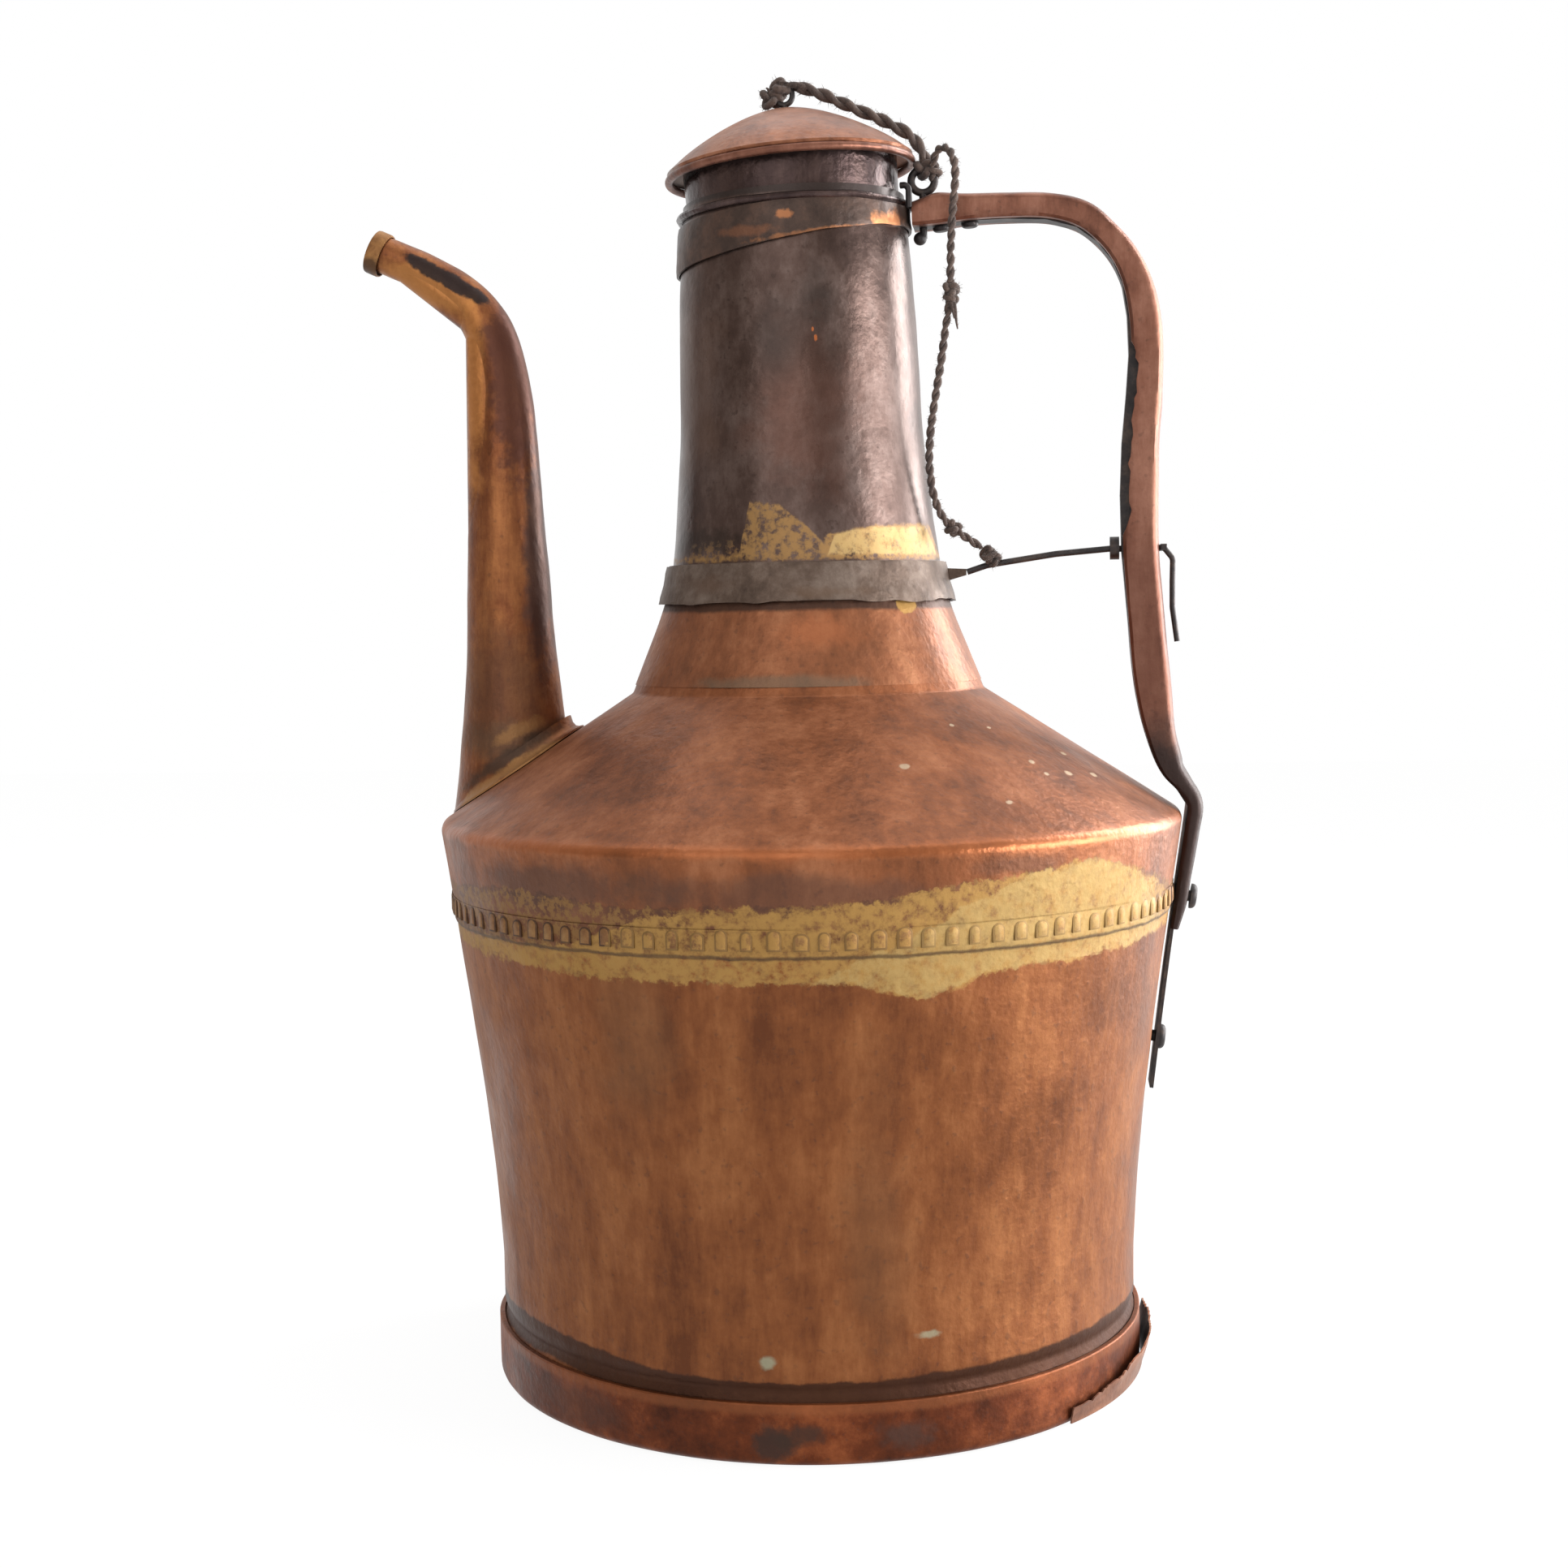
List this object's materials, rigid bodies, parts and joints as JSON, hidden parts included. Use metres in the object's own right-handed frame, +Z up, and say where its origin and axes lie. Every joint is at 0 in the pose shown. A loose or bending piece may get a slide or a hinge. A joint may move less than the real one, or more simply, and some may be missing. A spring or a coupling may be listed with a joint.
{
  "type": "copper pitcher",
  "caption": "Tall copper water pitcher with a broad body, long curved spout, riveted handle and a lift-off lid tied on with rope.",
  "frame": {"origin": "centre of the flat underside of the base pan", "axes": "+Z up, +X toward the handle, -X toward the spout, Y across"},
  "size_m": [0.2987, 0.2642, 0.4554],
  "materials": {
    "copper_body": "worn satin",
    "copper_bright": "worn, half bright",
    "tinned_copper": "dark patina",
    "iron": "dull, rusted",
    "strap_iron": "grey, worn",
    "rope": "fibrous"
  },
  "bodies": {
    "jug": {"base_pan": "copper_body", "torn_foot_skin": "copper_bright", "drum_wall": "copper_body", "shoulder": "copper_body", "neck_cone": "copper_bright", "neck_tube": "tinned_copper", "neck_rim": "iron", "neck_band": "copper_bright", "rim_clip": "iron", "neck_strap": "strap_iron", "tie_wire": "strap_iron", "spout_tube": "copper_bright", "spout_collar": "copper_bright", "spout_tip_ring": "copper_bright", "handle_sheath": "copper_body", "handle_core": "iron", "upper_wall_rivet": "iron", "lower_wall_rivet": "iron", "upper_wall_rove": "iron", "lower_wall_rove": "iron", "sheath_rivet_near_neck": "iron", "sheath_rivet_far": "iron", "handle_eye": "iron", "eye_knot": "rope", "tether_cord": "rope", "hanging_cord": "rope", "middle_knot": "rope", "lower_knot": "rope", "tie_knot": "rope"},
    "lid": {"lid_dome": "copper_bright", "lid_wire": "copper_bright", "lid_skirt": "tinned_copper", "lid_eye": "iron", "lid_eye_rove": "iron", "lid_knot": "rope"}
  },
  "joints": [
    {"name": "lid_lift", "type": "slide", "parent": "jug", "child": "lid", "axis": [0, 0, 1], "range_m": [0, 0.02], "deforming": ["tether_cord"]}
  ]
}
